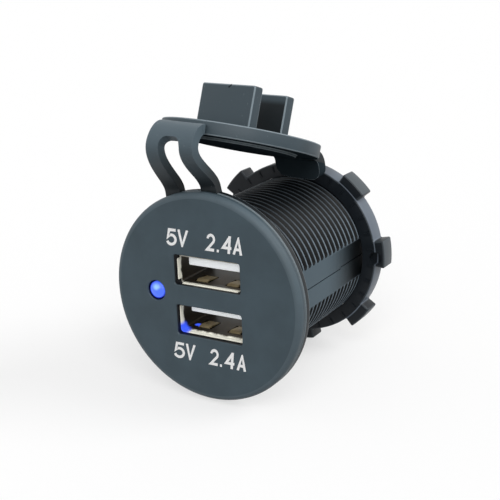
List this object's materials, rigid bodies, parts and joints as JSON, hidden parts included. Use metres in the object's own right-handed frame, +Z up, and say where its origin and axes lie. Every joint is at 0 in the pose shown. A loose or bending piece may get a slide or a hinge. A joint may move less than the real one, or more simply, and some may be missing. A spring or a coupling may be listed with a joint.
{
  "type": "car dual usb socket",
  "caption": "Round panel-mount USB charging socket with a flip-open rubber cover, a threaded barrel, a lugged ring nut and blade terminals behind.",
  "frame": {"origin": "centre of the fascia's front face", "axes": "+Y along the barrel, away from the face; +Z up; +X to the right seen from the front"},
  "size_m": [0.0374, 0.0547, 0.0535],
  "materials": {
    "fascia_plastic": "slate grey plastic, matt, fine grain",
    "cover_rubber": "slate grey rubber, matt",
    "barrel_plastic": "black plastic with a satin thread",
    "nut_plastic": "black plastic, satin",
    "port_steel": "bright plated steel",
    "white_insulator": "white moulded insulator",
    "gold_contact": "gold-plated contact",
    "blue_lens": "clear blue epoxy, lit",
    "tinned_wire": "tinned",
    "board_laminate": "green glass-fibre laminate",
    "black_resin": "black moulding resin",
    "ferrite": "dark grey ferrite",
    "copper_coil": "enamelled copper winding",
    "can_aluminium": "bare aluminium can",
    "terminal_brass": "plain brass blade"
  },
  "bodies": {
    "socket": {"front_fascia": "fascia_plastic", "cover_ring": "cover_rubber", "barrel_upper_shell": "barrel_plastic", "barrel_lower_shell": "barrel_plastic", "rear_cap": "barrel_plastic", "usb_shell_upper": "port_steel", "usb_shell_lower": "port_steel", "usb_tongue_upper": "white_insulator", "usb_tongue_lower": "white_insulator", "usb_contact_upper_1": "gold_contact", "usb_contact_upper_2": "gold_contact", "usb_contact_upper_3": "gold_contact", "usb_contact_upper_4": "gold_contact", "usb_contact_lower_1": "gold_contact", "usb_contact_lower_2": "gold_contact", "usb_contact_lower_3": "gold_contact", "usb_contact_lower_4": "gold_contact", "status_lamp": "blue_lens", "lamp_lead_upper": "tinned_wire", "lamp_lead_lower": "tinned_wire", "usb_board": "board_laminate", "power_board": "board_laminate", "board_header": "black_resin", "inductor_core": "ferrite", "inductor_coil": "copper_coil", "input_capacitor": "can_aluminium", "output_capacitor": "can_aluminium", "controller_chip": "black_resin", "rectifier_diode": "black_resin", "positive_terminal": "terminal_brass", "negative_terminal": "terminal_brass"},
    "straps": {"cover_straps": "cover_rubber"},
    "cap": {"cover_cap": "cover_rubber"},
    "nut": {"mounting_nut": "nut_plastic"}
  },
  "joints": [
    {"name": "strap_bend", "type": "hinge", "parent": "socket", "child": "straps", "pos_m": [-0.003, -0.001, 0.02065], "axis": [0.9595, 0, 0.2818], "range_deg": [0, 154.77], "deforming": ["cover_straps"]},
    {"name": "cap_fold", "type": "hinge", "parent": "straps", "child": "cap", "pos_m": [-0.0027, -0.0015, 0.0282], "axis": [0.9244, -0.2564, 0.2824], "range_deg": [0, 139.89], "deforming": ["cover_straps"]},
    {"name": "nut_travel", "type": "slide", "parent": "socket", "child": "nut", "axis": [0, 1, 0], "range_m": [-0.0015, 0.019]}
  ]
}
